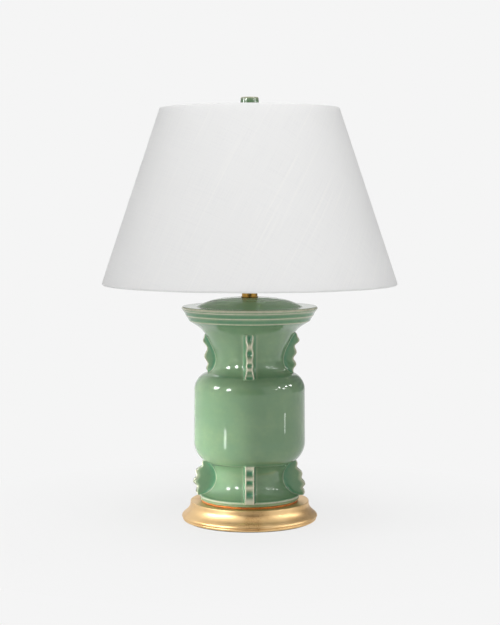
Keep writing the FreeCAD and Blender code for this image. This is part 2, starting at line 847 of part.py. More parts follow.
def switch_key():
    """Turn key: a round root and a flat wing for the fingers, bored for the shaft."""
    root_y = -(holder_cap_radius + key_stem_length - key_knob_length)
    root = rod(key_knob_radius, V(0, root_y, key_z), -BACK, key_knob_length + 3)
    wing_y = root_y - key_knob_length
    wing = Part.makeBox(key_wing_width, key_wing_length, key_wing_thickness)
    wing.translate(V(-key_wing_width / 2, wing_y - key_wing_length, key_z - key_wing_thickness / 2))
    corners = [e for e in wing.Edges if abs(e.tangentAt(e.FirstParameter).z) > 0.9]
    outer = [e for e in corners if e.CenterOfMass.y < wing_y - key_wing_length / 2]
    wing = wing.makeFillet(0.42 * key_wing_length, outer)
    bore = rod(key_shaft_radius, V(0, 0, key_z), -BACK, holder_cap_radius + key_stem_length)
    return root.fuse(wing).removeSplitter().cut(bore)


# ---------------------------------------------------------------- bulb
def bulb_contact():
    return disc(bulb_contact_radius, contact_top_z, contact_top_z + bulb_contact_thickness)


def bulb_insulator():
    low = contact_top_z + bulb_contact_thickness
    outline = Profile(0, low)
    outline.line(bulb_contact_radius + 0.6, low)
    outline.line(bulb_cap_radius - 2.0, bulb_cap_z)
    outline.line(0, bulb_cap_z)
    return outline.turned()


def bulb_cap():
    """Screw cap of the bulb: a thin cup, drawn without its thread."""
    outline = Profile(0, bulb_cap_z)
    outline.line(bulb_cap_radius - 2.0, bulb_cap_z)
    outline.line(bulb_cap_radius, bulb_cap_z + 2.0)
    outline.line(bulb_cap_radius, collar_z)
    outline.line(bulb_cap_radius - bulb_cap_wall, collar_z)
    outline.line(bulb_cap_radius - bulb_cap_wall, bulb_cap_z + 2.2)
    outline.line(bulb_cap_radius - 2.2, bulb_cap_z + bulb_cap_wall)
    outline.line(0, bulb_cap_z + bulb_cap_wall)
    return outline.turned()


def bulb_collar():
    """Moulded collar that widens from the cap to the globe and carries the light board."""
    low_r = bulb_cap_radius + 0.6
    wall = 2 * bulb_wall
    outline = Profile(0, collar_z)
    outline.line(low_r, collar_z)
    outline.arc(
        mix(low_r, bulb_collar_top_radius, 0.40), mix(collar_z, globe_z, 0.55),
        bulb_collar_top_radius, globe_z,
    )
    outline.line(bulb_collar_top_radius - wall, globe_z)
    outline.line(bulb_cap_radius - wall, collar_z + wall)
    outline.line(0, collar_z + wall)
    return outline.turned()


def led_board():
    """Round board that lies on the collar's rim, inside the globe, and carries the light emitters."""
    radius = bulb_collar_top_radius - bulb_wall - led_board_play
    return tube(radius, led_board_bore_radius, globe_z, globe_z + led_board_thickness)


def bulb_globe():
    """Diffusing globe: a hollow ball on a short skirt that stands on the collar."""
    low_r = bulb_collar_top_radius
    top_z = globe_z + bulb_globe_height
    wide_z = top_z - bulb_globe_radius
    turn = math.sqrt(0.5)
    wall = bulb_wall
    inner = bulb_globe_radius - wall
    outline = Profile(low_r - wall, globe_z)
    outline.line(low_r, globe_z)
    skirt_mid = mix(low_r, bulb_globe_radius, 0.68)
    outline.arc(skirt_mid, mix(globe_z, wide_z, 0.45), bulb_globe_radius, wide_z)
    outline.arc(bulb_globe_radius * turn, wide_z + bulb_globe_radius * turn, 0, top_z)
    outline.line(0, top_z - wall)
    outline.arc(inner * turn, wide_z + inner * turn, inner, wide_z)
    outline.arc(skirt_mid - wall, mix(globe_z, wide_z, 0.45), low_r - wall, globe_z)
    return outline.turned()


# ---------------------------------------------------------------- shade
slant = math.hypot(shade_bottom_radius - shade_top_radius, shade_height)
slope_r = (shade_top_radius - shade_bottom_radius) / slant
slope_z = shade_height / slant
rolled_radius = linen_thickness + (backing_thickness + 2 * (ring_wire_radius + ring_play)) / 2


def on_shade(along, depth):
    """A point of the shade's section: distance up the slant, and depth inwards from the linen."""
    r = shade_bottom_radius + along * slope_r - depth * slope_z
    z = shade_bottom_z + along * slope_z + depth * slope_r
    return r, z


def shade_linen():
    """Linen cone, rolled over both rings, turned in as a hem and slit where the spider's arms pass."""
    roll = rolled_radius
    inner = roll - linen_thickness
    corner = inner * math.tan(math.radians(22.5))
    depth = 2 * roll
    top = slant - roll
    outline = Profile(*on_shade(roll, 0))
    outline.line(*on_shade(top, 0))
    outline.arc(*on_shade(top + roll, roll), *on_shade(top, depth))
    outline.line(*on_shade(top - hem_depth, depth))
    outline.line(*on_shade(top - hem_depth, depth - linen_thickness))
    outline.line(*on_shade(top + corner, depth - linen_thickness))
    outline.line(*on_shade(top + inner, roll + corner))
    outline.line(*on_shade(top + inner, roll - corner))
    outline.line(*on_shade(top + corner, linen_thickness))
    outline.line(*on_shade(roll - corner, linen_thickness))
    outline.line(*on_shade(roll - inner, roll - corner))
    outline.line(*on_shade(roll - inner, roll + corner))
    outline.line(*on_shade(roll - corner, depth - linen_thickness))
    outline.line(*on_shade(roll + hem_depth, depth - linen_thickness))
    outline.line(*on_shade(roll + hem_depth, depth))
    outline.line(*on_shade(roll, depth))
    outline.arc(*on_shade(0, roll), *on_shade(roll, 0))
    linen = outline.turned()
    for slit in around(spider_arm(spider_wire_radius + hem_slit_play), spider_arms, 90.0):
        linen = linen.cut(slit)
    return linen


def shade_backing():
    """Stiff white liner that the linen is laminated to."""
    low = rolled_radius
    high = slant - rolled_radius
    outline = Profile(*on_shade(low, linen_thickness))
    outline.line(*on_shade(high, linen_thickness))
    outline.line(*on_shade(high, linen_thickness + backing_thickness))
    outline.line(*on_shade(low, linen_thickness + backing_thickness))
    return outline.turned()


def ring_centre(along):
    return on_shade(along, linen_thickness + backing_thickness + ring_play + ring_wire_radius)


def shade_ring(along):
    r, z = ring_centre(along)
    return Part.makeTorus(r, ring_wire_radius, V(0, 0, z))


def spider_arm(wire_radius):
    """One arm along +X: out from the hub, then bent up to the middle of the top ring's wire."""
    ring_r, ring_z = ring_centre(slant - rolled_radius)
    arm_z = stud_seat_z + spider_hub_thickness / 2
    points = [
        V(spider_hub_radius - 2, 0, arm_z),
        V(ring_r - spider_bend_inset, 0, arm_z),
        V(ring_r, 0, ring_z),
    ]
    return wire_along(rounded_path(points, [spider_bend_radius]), wire_radius)


def shade_spider():
    """Three bent arms welded to the hub, which sits on the stud's collar and drops the shade."""
    spider = tube(spider_hub_radius, stud_radius + spider_hub_clearance, stud_seat_z, spider_top_z)
    arm = spider_arm(spider_wire_radius).cut(shade_ring(slant - rolled_radius))
    arm = max(arm.Solids, key=lambda solid: solid.Volume)
    for copy in around(arm, spider_arms, 90.0):
        spider = spider.fuse(copy)
    return spider


# ---------------------------------------------------------------- finial
def finial_base():
    """Turned brass foot of the finial, tapped for the stud."""
    bore = stud_radius + finial_clearance
    top = finial_ring_z
    outline = Profile(bore, finial_z)
    outline.line(finial_foot_radius, finial_z)
    outline.line(finial_foot_radius, finial_z + 1.6)
    outline.arc(
        finial_waist_radius, mix(finial_z, top, 0.42),
        finial_seat_radius - 1.5, top - 1.6,
    )
    outline.line(finial_seat_radius, top - 1.2)
    outline.line(finial_seat_radius, top)
    outline.line(bore, top)
    return outline.turned()


def finial_ring():
    bore = stud_radius + finial_clearance
    return bevelled_ring(finial_ring_radius, bore, finial_ring_z, finial_cap_z)


def finial_cap():
    """Celadon drum on top: tapered side, rounded upper edge, drawn in underneath."""
    low = finial_cap_z
    top = low + finial_cap_height
    widest_z = low + 0.34 * finial_cap_height
    turn = finial_cap_round * (1 - math.sqrt(0.5))
    outline = Profile(0, low)
    outline.line(finial_seat_radius + 0.4, low)
    outline.arc(
        mix(finial_seat_radius, finial_cap_radius, 0.80), mix(low, widest_z, 0.42),
        finial_cap_radius, widest_z,
    )
    outline.line(finial_cap_top_radius, top - finial_cap_round)
    outline.arc(
        finial_cap_top_radius - turn, top - turn,
        finial_cap_top_radius - finial_cap_round, top,
    )
    outline.line(0, top)
    return outline.turned()


# ---------------------------------------------------------------- write every piece
pieces = {
    "felt_pad": felt_pad,
    "gilt_base": gilt_base,
    "cord_bushing": cord_bushing,
    "base_washer": base_washer,
    "base_lock_nut": lock_nut,
    "centre_pipe": centre_pipe,
    "vase_seat_ring": seat_ring,
    "vase_body": vase_body,
    "vase_lid": vase_lid,
    "neck_check_ring": check_ring,
    "brass_neck": neck_tube,
    "harp_saddle": harp_saddle,
    "harp_bow": harp_bow,
    "harp_stud": harp_stud,
    "harp_sleeve_left": lambda: harp_sleeve(-1),
    "harp_sleeve_right": lambda: harp_sleeve(1),
    "holder_cap": holder_cap,
    "holder_set_screw": set_screw,
    "holder_shell": holder_shell,
    "holder_liner": holder_liner,
    "holder_insulator": holder_insulator,
    "holder_terminal_screws": terminal_screws,
    "holder_screw_shell": screw_shell,
    "holder_centre_contact": centre_contact,
    "switch_shaft": switch_shaft,
    "switch_key": switch_key,
    "bulb_contact": bulb_contact,
    "bulb_insulator": bulb_insulator,
    "bulb_cap": bulb_cap,
    "bulb_collar": bulb_collar,
    "bulb_light_board": led_board,
    "bulb_globe": bulb_globe,
    "shade_linen": shade_linen,
    "shade_backing": shade_backing,
    "shade_top_ring": lambda: shade_ring(slant - rolled_radius),
    "shade_bottom_ring": lambda: shade_ring(rolled_radius),
    "shade_spider": shade_spider,
    "finial_base": finial_base,
    "finial_ring": finial_ring,
    "finial_cap": finial_cap,
}

os.makedirs("parts", exist_ok=True)
for name, make in pieces.items():
    shape = make()
    solids = shape.Solids
    if not solids or not all(solid.isValid() for solid in solids):
        raise RuntimeError(f"{name} has no valid solid")
    kept = solids[0] if len(solids) == 1 else Part.makeCompound(solids)
    kept.exportStep(f"parts/{name}.step")
    print(f"{name}: {len(solids)} solid, {sum(s.Volume for s in solids) / 1000:.2f} cm3")
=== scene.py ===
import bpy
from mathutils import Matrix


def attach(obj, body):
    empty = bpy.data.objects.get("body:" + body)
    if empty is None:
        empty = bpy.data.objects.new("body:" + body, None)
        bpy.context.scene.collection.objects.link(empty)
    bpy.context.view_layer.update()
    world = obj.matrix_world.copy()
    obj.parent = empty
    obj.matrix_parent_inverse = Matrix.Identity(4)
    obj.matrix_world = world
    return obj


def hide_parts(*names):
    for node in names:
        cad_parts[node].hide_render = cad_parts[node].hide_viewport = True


bl_info = {
    "name": "Celadon Jar Lamp",
    "version": (1, 0, 0),
    "blender": (4, 5, 0),
    "location": "3D View > Sidebar > Jar Lamp",
    "description": (
        "Dresses a table lamp: glazed vase with notched fins, gilt base, linen shade, brass fittings"
    ),
    "category": "Add Mesh",
}

import math

import bmesh
import bpy
from mathutils import Vector

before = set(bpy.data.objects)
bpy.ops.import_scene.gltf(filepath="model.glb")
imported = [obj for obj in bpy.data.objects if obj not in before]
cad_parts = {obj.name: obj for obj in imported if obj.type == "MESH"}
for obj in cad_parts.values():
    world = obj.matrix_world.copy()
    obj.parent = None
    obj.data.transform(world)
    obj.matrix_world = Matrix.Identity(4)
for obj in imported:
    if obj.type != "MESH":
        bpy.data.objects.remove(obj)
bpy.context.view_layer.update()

MM = 0.001
# The vase's four sides as angles about its axis, in degrees
LEFT, RIGHT, FRONT, BACK = 180, 0, 270, 90
# Steps round the axis of large, middling and small turned pieces
LARGE_TURN, MIDDLE_TURN, SMALL_TURN = 240, 192, 64
# Points closer than this are one point, in metres
TOUCHING = 1e-6


def srgb(code):
    """A hex colour as linear numbers with an alpha of 1."""
    parts = [int(code[k:k + 2], 16) / 255 for k in (1, 3, 5)]
    return tuple(c / 12.92 if c <= 0.04045 else ((c + 0.055) / 1.055) ** 2.4 for c in parts) + (1.0,)


# ---------------------------------------------------------------- sizes and colours a user may change
def hue(name, description, code):
    return bpy.props.FloatVectorProperty(
        name=name, description=description, subtype="COLOR", size=4, min=0, max=1, default=srgb(code)
    )


def length(name, description, millimetres):
    return bpy.props.FloatProperty(
        name=name, description=description, subtype="DISTANCE", unit="LENGTH", min=0,
        default=millimetres * MM,
    )


class JarLampColours(bpy.types.PropertyGroup):
    glaze: hue("Glaze", "Celadon where the glaze lies evenly", "#71906C")
    glaze_cloud: hue("Glaze cloud", "Warmer drifts in the celadon", "#7D9872")
    glaze_pool: hue("Glaze pool", "Celadon where the glaze ran thick", "#3C7F5B")
    glaze_break: hue("Glaze break", "Stoneware showing where the glaze broke thin", "#DDD3BE")
    gold: hue("Gold leaf", "Gold leaf on the base", "#E6C48F")
    # The bole's saturated orange is partly painted reflection of gilt in the shaded gap under the vase's foot
    bole: hue("Bole", "Red clay under the leaf", "#C0622A")
    brass: hue("Brass", "Lacquered brass", "#B08A44")
    linen: hue("Linen", "Bleached linen of the shade", "#EDEDEC")
    backdrop: hue("Backdrop", "Paper behind and under the lamp", "#F5F5F5")


class JarLampSizes(bpy.types.PropertyGroup):
    dish_depth: length("Dish depth", "How deep a fin's crest is hollowed between two rungs", 2.2)
    rail_width: length("Rail width", "Width of the raised edge on each side of a fin's crest", 1.9)
    fin_root: length("Fin root", "Half the thickness of a fin where it meets the wall", 7.8)
    fin_fillet: length("Fin fillet", "Radius of the clay smeared into the joint of a fin", 2.8)
    cloth: length("Cloth", "Thickness of the linen", 0.5)
    thread: length("Thread", "Distance between two threads as drawn", 1.1)


# ---------------------------------------------------------------- outlines, in mm of radius and height
def arc(start, middle, end, count):
    """Points along the circle through three points, the first one left out."""
    a, b, c = (Vector(p) for p in (start, middle, end))
    d = 2 * (a.x * (b.y - c.y) + b.x * (c.y - a.y) + c.x * (a.y - b.y))
    aa, bb, cc = a.length_squared, b.length_squared, c.length_squared
    centre = Vector((
        (aa * (b.y - c.y) + bb * (c.y - a.y) + cc * (a.y - b.y)) / d,
        (aa * (c.x - b.x) + bb * (a.x - c.x) + cc * (b.x - a.x)) / d,
    ))
    radius = (a - centre).length
    first, through, last = (math.atan2(p.y - centre.y, p.x - centre.x) for p in (a, b, c))
    turn = (last - first) % math.tau
    if (through - first) % math.tau > turn:
        turn -= math.tau
    angles = [first + turn * k / count for k in range(1, count + 1)]
    return [(centre.x + radius * math.cos(t), centre.y + radius * math.sin(t)) for t in angles]


def line(start, end, count):
    """Points along a straight line, the first one left out."""
    a, b = Vector(start), Vector(end)
    return [tuple(a.lerp(b, k / count)) for k in range(1, count + 1)]


def flowing(points, count):
    """Points along one smooth curve through the given ones, the first one left out."""
    p = [Vector(q) for q in points]
    p = [2 * p[0] - p[1]] + p + [2 * p[-1] - p[-2]]
    runs = len(points) - 1
    just_short = 1e-9
    curve = []
    for k in range(1, count + 1):
        at = min(k * runs / count, runs - just_short)
        n, t = int(at), at - int(at)
        q0, q1, q2, q3 = p[n:n + 4]
        curve.append(tuple(0.5 * (
            2 * q1 + (q2 - q0) * t + (2 * q0 - 5 * q1 + 4 * q2 - q3) * t * t
            + (3 * q1 - q0 - 3 * q2 + q3) * t ** 3
        )))
    return curve


def eased(table, z):
    """The row of a table at a height, eased from one row to the next. Heights fall down the table."""
    if z >= table[0][0]:
        return table[0][1:]
    for high, low in zip(table, table[1:]):
        if z >= low[0]:
            t = (high[0] - z) / (high[0] - low[0])
            t = 0.5 - 0.5 * math.cos(math.pi * t)
            return tuple(a + (b - a) * t for a, b in zip(high[1:], low[1:]))
    return table[-1][1:]


def nearness(r, z, spots):
    """How close a point of the outline is to any of the spots (radius, height, reach, strength)."""
    return max([0.0] + [
        s * max(0.0, 1 - math.hypot(r - sr, z - sz) / reach) for sr, sz, reach, s in spots
    ])


# ---------------------------------------------------------------- pieces
def placed(name, mesh):
    """Puts a bmesh into the scene as an object."""
    data = bpy.data.meshes.new(name)
    mesh.to_mesh(data)
    mesh.free()
    made = bpy.data.objects.new(name, data)
    bpy.context.scene.collection.objects.link(made)
    return made


def piece(name, mesh, material, body, nodes, sharp=40):
    """A bmesh as a smooth piece that rides on a body and stands for CAD nodes; sharp is in degrees."""
    made = placed(name, mesh)
    made.data.shade_smooth()
    made.data.set_sharp_from_angle(angle=math.radians(sharp))
    made.data.materials.append(material)
    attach(made, body)
    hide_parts(*nodes)
    return made


def tidy(mesh):
    """Closes seams and poles and turns every face outwards."""
    bmesh.ops.remove_doubles(mesh, verts=mesh.verts, dist=TOUCHING)
    bmesh.ops.dissolve_degenerate(mesh, edges=mesh.edges, dist=TOUCHING)
    bmesh.ops.recalc_face_normals(mesh, faces=mesh.faces)


def turned(outline, steps, breaks=(), pools=()):
    """A closed outline spun about the lamp's axis; its glaze breaks and pools near the given spots."""
    mesh = bmesh.new()
    ring = [mesh.verts.new((r * MM, 0, z * MM)) for r, z in outline]
    edges = [mesh.edges.new(pair) for pair in zip(ring, ring[1:] + ring[:1])]
    bmesh.ops.spin(
        mesh, geom=ring + edges, cent=(0, 0, 0), axis=(0, 0, 1), angle=math.tau, steps=steps,
        use_merge=True,
    )
    tidy(mesh)
    if breaks or pools:
        thin = mesh.verts.layers.float.new("thin")
        pool = mesh.verts.layers.float.new("pool")
        for v in mesh.verts:
            r, z = math.hypot(v.co.x, v.co.y) / MM, v.co.z / MM
            v[thin] = nearness(r, z, breaks)
            v[pool] = nearness(r, z, pools)
    return mesh


def dress(material, *nodes):
    """Gives CAD nodes a material in place of the plain one."""
    for name in nodes:
        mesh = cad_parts[name].data
        mesh.materials.clear()
        mesh.materials.append(material)


# ---------------------------------------------------------------- materials
def add(tree, kind, inputs=None, **settings):
    """Adds a node with its settings; an input takes a value or another node's socket."""
    made = tree.nodes.new(kind)
    for key, value in settings.items():
        setattr(made, key, value)
    for key, value in (inputs or {}).items():
        if isinstance(value, bpy.types.NodeSocket):
            tree.links.new(value, made.inputs[key])
        else:
            made.inputs[key].default_value = value
    return made


def blank(name):
    """A new material and its empty node tree."""
    material = bpy.data.materials.new(name)
    material.use_nodes = True
    material.node_tree.nodes.clear()
    return material, material.node_tree


def finish_surface(tree, shader):
    add(tree, "ShaderNodeOutputMaterial", {"Surface": shader.outputs[0]})


# Sockets of a Mix node that mixes colours
MIX_FACTOR, MIX_A, MIX_B, MIX_RESULT = 0, 6, 7, 2
# Depth of the finest bumps, in metres
FINE = 0.0004


def blend(tree, fac, a, b):
    """Goes from colour a to colour b as fac goes from 0 to 1."""
    made = add(tree, "ShaderNodeMix", {MIX_FACTOR: fac, MIX_A: a, MIX_B: b}, data_type="RGBA")
    return made.outputs[MIX_RESULT]


def blend_shaders(tree, fac, first, second):
    """Goes from the first shader to the second as fac goes from 0 to 1."""
    return add(tree, "ShaderNodeMixShader", {0: fac, 1: first.outputs[0], 2: second.outputs[0]})


def grain(tree, coordinates, scale, detail=3.0, rough=0.55, stretch=(1, 1, 1)):
    """Noise whose lumps are about 1/scale metres across, stretched along the small factors."""
    moved = add(tree, "ShaderNodeMapping", {"Vector": coordinates, "Scale": stretch})
    made = add(tree, "ShaderNodeTexNoise", {
        "Vector": moved.outputs[0], "Scale": scale, "Detail": detail, "Roughness": rough,
    })
    return made.outputs["Fac"]


def spread(tree, value, low, high, to_low=0.0, to_high=1.0):
    """Maps low to to_low and high to to_high, and clamps beyond them."""
    made = add(tree, "ShaderNodeMapRange", {
        "Value": value, "From Min": low, "From Max": high, "To Min": to_low, "To Max": to_high,
    })
    return made.outputs[0]


def sums(tree, operation, a, b):
    """A sum or product clamped to 0 and 1."""
    return add(tree, "ShaderNodeMath", {0: a, 1: b}, operation=operation, use_clamp=True).outputs[0]


def seen_rays(tree):
    """The light path, and 1 for rays straight from the camera or mirrored by something glossy."""
    path = add(tree, "ShaderNodeLightPath")
    return path, sums(tree, "ADD", path.outputs["Is Camera Ray"], path.outputs["Is Glossy Ray"])


def celadon_glaze():
    """Celadon over stoneware, dipped and fired: glassy, cloudy, pale on edges and deep in hollows."""
    look = bpy.context.scene.jar_lamp_colours
    material, tree = blank("celadon_glaze")
    place = add(tree, "ShaderNodeTexCoord").outputs["Object"]
    drifts = grain(tree, place, scale=26, detail=3)
    mottle = grain(tree, place, scale=150, detail=4, rough=0.6)
    rings = grain(tree, place, scale=60, detail=2, rough=0.5, stretch=(0.08, 0.08, 1.6))
    thin = add(tree, "ShaderNodeAttribute", attribute_name="thin").outputs["Fac"]
    pool = add(tree, "ShaderNodeAttribute", attribute_name="pool").outputs["Fac"]
    colour = blend(tree, spread(tree, drifts, 0.40, 0.66), tuple(look.glaze), tuple(look.glaze_cloud))
    colour = blend(tree, spread(tree, mottle, 0.35, 0.70, 0.0, 0.38), colour, srgb("#6C8C6E"))
    colour = blend(tree, spread(tree, rings, 0.42, 0.65, 0.0, 0.28), colour, srgb("#709071"))
    deep = sums(tree, "MULTIPLY", pool, spread(tree, mottle, 0.3, 0.6, 0.75, 1.0))
    colour = blend(tree, deep, colour, tuple(look.glaze_pool))
    bare = sums(tree, "MULTIPLY", thin, spread(tree, mottle, 0.3, 0.6, 0.7, 1.0))
    colour = blend(tree, bare, colour, tuple(look.glaze_break))
    swell = grain(tree, place, scale=48, detail=2, rough=0.4)
    dents = add(tree, "ShaderNodeBump", {"Height": swell, "Strength": 0.12, "Distance": 0.0015})
    lines = add(tree, "ShaderNodeBump", {
        "Height": rings, "Strength": 0.10, "Distance": 0.0008, "Normal": dents.outputs[0],
    })
    # Orange peel of a fired glaze, about 6 mm from crest to crest
    peel = grain(tree, place, scale=170, detail=1, rough=0.4)
    skin = add(tree, "ShaderNodeBump", {
        "Height": peel, "Strength": 0.05, "Distance": FINE, "Normal": lines.outputs[0],
    })
    gloss = spread(tree, mottle, 0.3, 0.7, 0.025, 0.06)
    shader = add(tree, "ShaderNodeBsdfPrincipled", {
        "Base Color": colour, "Roughness": gloss, "IOR": 1.5, "Normal": skin.outputs[0],
    })
    finish_surface(tree, shader)
    return material


def gold_leaf():
    """Gold leaf burnished by hand over turned wood: satin, streaked along the turning, leaves overlapping."""
    look = bpy.context.scene.jar_lamp_colours
    material, tree = blank("gold_leaf")
    place = add(tree, "ShaderNodeTexCoord").outputs["Object"]
    leaves = grain(tree, place, scale=34, detail=2, rough=0.5)
    specks = grain(tree, place, scale=420, detail=3, rough=0.6)
    strokes = grain(tree, place, scale=300, detail=3, rough=0.6, stretch=(0.12, 0.12, 1))
    colour = blend(tree, spread(tree, leaves, 0.4, 0.65), tuple(look.gold), srgb("#D9B47E"))
    worn = spread(tree, sums(tree, "MULTIPLY", specks, leaves), 0.34, 0.44, 0.0, 0.5)
    colour = blend(tree, worn, colour, srgb("#A9713C"))
    gloss = spread(tree, strokes, 0.3, 0.7, 0.33, 0.45)
    dents = add(tree, "ShaderNodeBump", {"Height": strokes, "Strength": 0.10, "Distance": FINE})
    lumps = add(tree, "ShaderNodeBump", {
        "Height": leaves, "Strength": 0.10, "Distance": 0.002, "Normal": dents.outputs[0],
    })
    shader = add(tree, "ShaderNodeBsdfPrincipled", {
        "Base Color": colour, "Metallic": 1.0, "Roughness": gloss, "Normal": lumps.outputs[0],
    })
    finish_surface(tree, shader)
    return material


def plain(name, base, second, rough, scale, metal=0.0, bump=0.05, stretch=(1, 1, 1), sheen=0.0):
    """A material of two close colours in a fine grain, with roughness and bump from the same grain."""
    material, tree = blank(name)
    place = add(tree, "ShaderNodeTexCoord").outputs["Object"]
    lumps = grain(tree, place, scale, 4, 0.6, stretch)
    colour = blend(tree, spread(tree, lumps, 0.35, 0.65), base, second)
    gloss = spread(tree, lumps, 0.3, 0.7, rough * 0.85, min(1.0, rough * 1.2))
    dents = add(tree, "ShaderNodeBump", {"Height": lumps, "Strength": bump, "Distance": FINE})
    shader = add(tree, "ShaderNodeBsdfPrincipled", {
        "Base Color": colour, "Metallic": metal, "Roughness": gloss, "Sheen Weight": sheen,
        "Normal": dents.outputs[0],
    })
    finish_surface(tree, shader)
    return material


def linen_weave():
    """Bleached plain-weave linen on stiff liner: matt, with slubs along warp and weft in the cut cloth."""
    look = bpy.context.scene.jar_lamp_colours
    thread = bpy.context.scene.jar_lamp_sizes.thread
    material, tree = blank("linen_weave")
    flat = add(tree, "ShaderNodeUVMap", uv_map="cut_cloth").outputs[0]
    # The threads lie aslant in the cut piece, by this angle
    slant = (0, 0, math.radians(27))
    cloth = add(tree, "ShaderNodeMapping", {"Vector": flat, "Rotation": slant}).outputs[0]
    # Lumps of the noise per metre, across the threads and along them
    across, along = 0.6 / thread, 12
    slub_across, slub_along = 0.25 / thread, 5
    warp = grain(tree, cloth, scale=1.0, stretch=(across, along, 1))
    weft = grain(tree, cloth, scale=1.0, stretch=(along, across, 1))
    slubs = grain(tree, cloth, scale=1.0, detail=2, rough=0.5, stretch=(slub_across, slub_along, 1))
    woven = sums(tree, "MULTIPLY", sums(tree, "ADD", warp, weft), 0.5)
    shade = spread(tree, woven, 0.40, 0.60)
    colour = blend(tree, shade, srgb("#E8E8E8"), tuple(look.linen))
    colour = blend(tree, spread(tree, slubs, 0.58, 0.72, 0.0, 0.3), colour, srgb("#F3F2EF"))
    dents = add(tree, "ShaderNodeBump", {"Height": woven, "Strength": 0.25, "Distance": FINE})
    shader = add(tree, "ShaderNodeBsdfPrincipled", {
        "Base Color": colour, "Roughness": 0.95, "Specular IOR Level": 0.2, "Sheen Weight": 0.05,
        "Normal": dents.outputs[0],
    })
    finish_surface(tree, shader)
    return material


# ---------------------------------------------------------------- vase
def vase_rows():
    """The vase's outline all the way round, as rows of radius, height and whether fins stand there."""
    foot = [(6.0, 37.3), (36.0, 37.3), (66.0, 37.3), (66.2, 33.5), (67.0, 33.3), (75.2, 33.3)]
    foot += arc((75.2, 33.3), (76.7, 34.0), (77.4, 35.4), 4) + line((77.4, 35.4), (77.8, 38.4), 3)
    waist = arc((77.8, 38.4), (77.4, 40.0), (76.4, 41.3), 5)
    waist += arc((76.4, 41.3), (53.0, 67.5), (72.5, 95.3), 84)
    body = arc((72.5, 95.3), (82.65, 107.3), (87.0, 125.0), 16)
    body += line((87.0, 125.0), (86.4, 203.0), 14)
    body += arc((86.4, 203.0), (82.8, 219.7), (73.0, 230.0), 24)
    neck = flowing([
        (73.0, 230.0), (62.8, 234.5), (56.2, 241.5), (53.2, 252.5), (55.0, 263.5), (60.0, 275.5),
        (67.2, 289.5), (77.2, 302.3), (94.6, 313.8),
    ], 100)
    rim = arc((94.6, 313.8), (96.8, 318.2), (99.9, 322.3), 12)
    rim += arc((99.9, 322.3), (101.5, 326.2), (104.2, 329.8), 12) + [(104.2, 331.0), (103.9, 331.1)]
    inside = [
        (92.2, 331.1), (92.2, 321.6), (80.6, 313.8), (60.2, 289.5), (46.2, 263.5), (46.2, 241.7),
        (56.1, 230.0), (79.4, 203.0), (80.0, 125.0), (65.5, 95.3), (46.0, 76.5), (46.0, 58.3),
        (65.0, 41.3), (6.0, 41.3), (6.0, 37.3),
    ]
    outside = waist + body + neck
    return ([(r, z, False) for r, z in foot] + [(r, z, True) for r, z in outside]
            + [(r, z, False) for r, z in rim + inside])


# Crest of each fin from its top down: height, radius, half the thickness, and 1 where a rung crosses
# the crest or 0 where it is hollowed.
NECK_FINS = {
    FRONT: (
        (297.6, 73.6, 5.2, 0.0), (293.5, 74.0, 5.8, 0.0), (288.0, 74.8, 5.5, 0.25),
        (278.6, 76.0, 4.0, 1.0), (267.5, 69.8, 5.7, 0.0), (255.8, 72.8, 4.2, 1.0),
        (249.5, 70.0, 5.4, 0.0), (243.6, 71.8, 4.4, 1.0), (238.6, 70.0, 5.4, 0.3),
        (234.2, 72.0, 6.6, 0.6), (231.4, 74.4, 7.2, 0.1), (229.4, 76.0, 7.0, 0.0), (228.6, 74.0, 6.8, 0.0),
    ),
    LEFT: (
        (296.0, 69.0, 5.6, 0.0), (288.0, 71.2, 5.6, 0.2), (283.0, 72.8, 4.2, 1.0),
        (270.4, 66.4, 5.7, 0.0), (257.8, 70.8, 4.2, 1.0), (246.0, 65.6, 5.4, 0.0),
        (239.0, 67.8, 4.8, 1.0), (234.0, 65.8, 6.0, 0.4), (229.0, 68.0, 7.0, 0.3),
    ),
    RIGHT: (
        (297.0, 71.0, 5.6, 0.0), (290.0, 74.6, 5.6, 0.2), (283.0, 78.0, 4.2, 1.0),
        (273.5, 70.6, 5.7, 0.0), (264.0, 73.6, 4.2, 1.0), (254.7, 68.6, 5.6, 0.0),
        (245.3, 73.0, 4.6, 1.0), (237.0, 68.4, 6.0, 0.4), (230.0, 68.8, 7.0, 0.3),
    ),
}
NECK_FINS[BACK] = tuple((z - 0.8, r - 0.4, t + 0.1, rung) for z, r, t, rung in NECK_FINS[FRONT])
WAIST_FINS = {
    FRONT: (
        (97.4, 74.5, 6.9, 0.9), (93.4, 75.4, 6.9, 1.0), (85.5, 76.6, 6.7, 0.0), (77.8, 83.4, 6.9, 1.0),
        (72.2, 81.8, 6.7, 0.0), (65.8, 87.0, 6.9, 1.0), (54.0, 84.0, 6.9, 0.0), (44.5, 88.4, 7.2, 1.0),
        (41.0, 88.2, 7.2, 1.0), (39.6, 87.2, 7.2, 0.8), (39.0, 76.0, 7.2, 0.0),
    ),
    LEFT: (
        (96.6, 72.0, 6.6, 0.6), (91.0, 74.6, 6.6, 1.0), (86.5, 74.8, 6.6, 0.0), (77.8, 84.8, 6.2, 1.0),
        (70.0, 83.2, 6.8, 0.0), (61.5, 88.6, 6.2, 1.0), (53.0, 82.4, 6.8, 0.0), (46.6, 84.4, 6.6, 1.0),
        (41.6, 82.0, 7.0, 0.6), (39.8, 80.6, 7.0, 0.6), (39.0, 75.0, 7.2, 0.0),
    ),
    RIGHT: (
        (96.6, 71.6, 6.6, 0.6), (89.5, 75.2, 6.6, 1.0), (84.0, 74.4, 6.6, 0.0), (73.6, 82.8, 6.2, 1.0),
        (66.5, 81.6, 6.8, 0.0), (57.2, 87.4, 6.2, 1.0), (50.5, 83.6, 6.8, 0.0), (45.0, 86.6, 6.6, 1.0),
        (41.4, 86.0, 7.0, 0.6), (39.8, 84.4, 7.0, 0.6), (39.0, 75.0, 7.2, 0.0),
    ),
}
